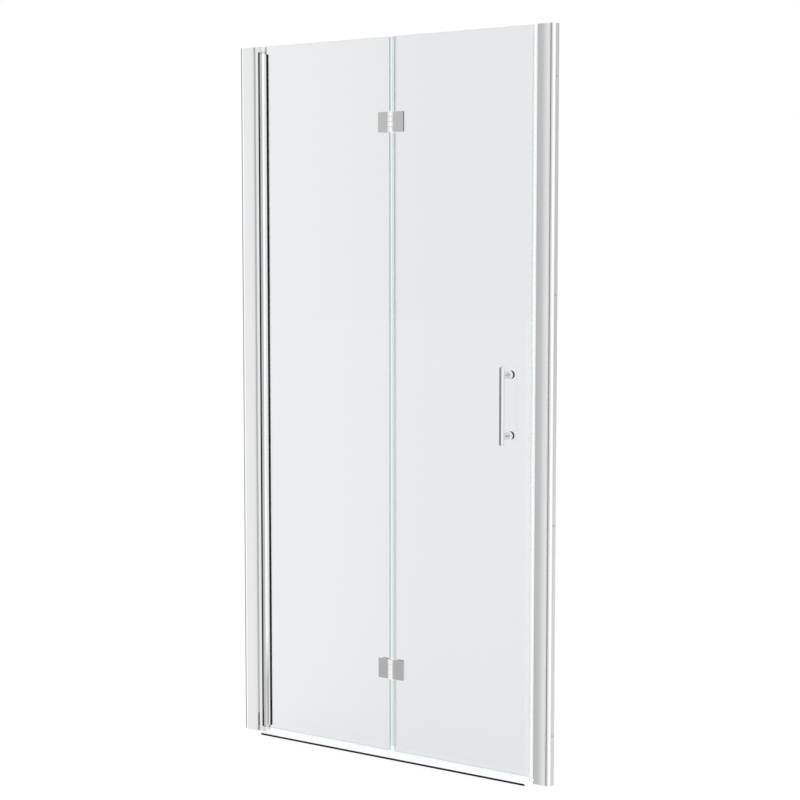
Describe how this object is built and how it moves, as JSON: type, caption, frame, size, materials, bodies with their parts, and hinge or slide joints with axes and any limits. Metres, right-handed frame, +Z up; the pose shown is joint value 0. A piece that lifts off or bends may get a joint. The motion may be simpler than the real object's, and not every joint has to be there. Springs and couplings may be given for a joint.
{
  "type": "bifold shower door",
  "caption": "Bifold shower door for a niche: clear glass panes on a pivot post and fold hinges, chrome profiles, bar handle.",
  "frame": {"origin": "on the shower tray, at the middle of the opening between the walls and in the mid-plane of the closed glass", "axes": "+X along the closed door from the pivot side to the magnet side, +Y into the shower, +Z up"},
  "size_m": [0.96, 0.0617, 1.85],
  "materials": {
    "bright_aluminium": "polished like chrome",
    "chrome": "mirror polished",
    "steel": "plain stainless",
    "nylon": "moulded, off-white",
    "white_vinyl": "smooth extruded, white",
    "clear_vinyl": "clear extruded",
    "black_rubber": "smooth black",
    "glass": "clear, toughened, polished edges with a pale green tint"
  },
  "bodies": {
    "frame": {"wall_channel_left": "bright_aluminium", "wall_channel_right": "bright_aluminium", "jamb_pivot": "bright_aluminium", "jamb_magnet": "bright_aluminium", "channel_caps": "nylon", "adjusting_screws": "steel", "screw_covers": "chrome", "pivot_block_top": "chrome", "pivot_block_bottom": "chrome", "pivot_bush_top": "nylon", "pivot_bush_bottom": "nylon", "block_screws": "steel", "jamb_magnet_seal": "white_vinyl", "jamb_magnet_core": "black_rubber", "sill": "bright_aluminium", "sill_cap_left": "chrome", "sill_cap_right": "chrome", "sill_gasket": "black_rubber"},
    "pivot_panel": {"pivot_post": "bright_aluminium", "post_plug_top": "chrome", "post_plug_bottom": "chrome", "pivot_pin_top": "steel", "pivot_pin_bottom": "steel", "glazing_gasket": "black_rubber", "glazing_bead": "clear_vinyl", "glass_bed": "black_rubber", "glass_pivot": "glass", "drip_seal_pivot": "clear_vinyl", "hinge_leaf_pivot_top": "chrome", "hinge_leaf_pivot_bottom": "chrome", "hinge_back_pivot_top": "chrome", "hinge_back_pivot_bottom": "chrome", "hinge_pin_top": "steel", "hinge_pin_bottom": "steel", "hinge_washers": "nylon", "hinge_pads_pivot": "black_rubber", "hinge_sleeves_pivot": "nylon", "hinge_screws_pivot": "steel"},
    "handle_panel": {"glass_handle": "glass", "fold_seal": "clear_vinyl", "drip_seal_handle": "clear_vinyl", "edge_seal": "clear_vinyl", "door_magnet_seal": "white_vinyl", "door_magnet_core": "black_rubber", "hinge_leaf_handle_top": "chrome", "hinge_leaf_handle_bottom": "chrome", "hinge_back_handle_top": "chrome", "hinge_back_handle_bottom": "chrome", "hinge_pads_handle": "black_rubber", "hinge_sleeves_handle": "nylon", "hinge_screws_handle": "steel", "handle_bar": "chrome", "handle_posts": "chrome", "handle_flanges": "chrome", "handle_rings": "black_rubber", "handle_spacers": "nylon", "handle_studs": "steel", "handle_caps": "chrome", "handle_grub_screws": "steel"}
  },
  "joints": [
    {"name": "pivot", "type": "hinge", "parent": "frame", "child": "pivot_panel", "pos_m": [-0.4114, 0, 0.925], "axis": [0, 0, 1], "range_deg": [0, 90]},
    {"name": "fold", "type": "hinge", "parent": "pivot_panel", "child": "handle_panel", "pos_m": [0.0055, -0.009, 0.925], "axis": [0, 0, -1], "range_deg": [0, 168]}
  ]
}
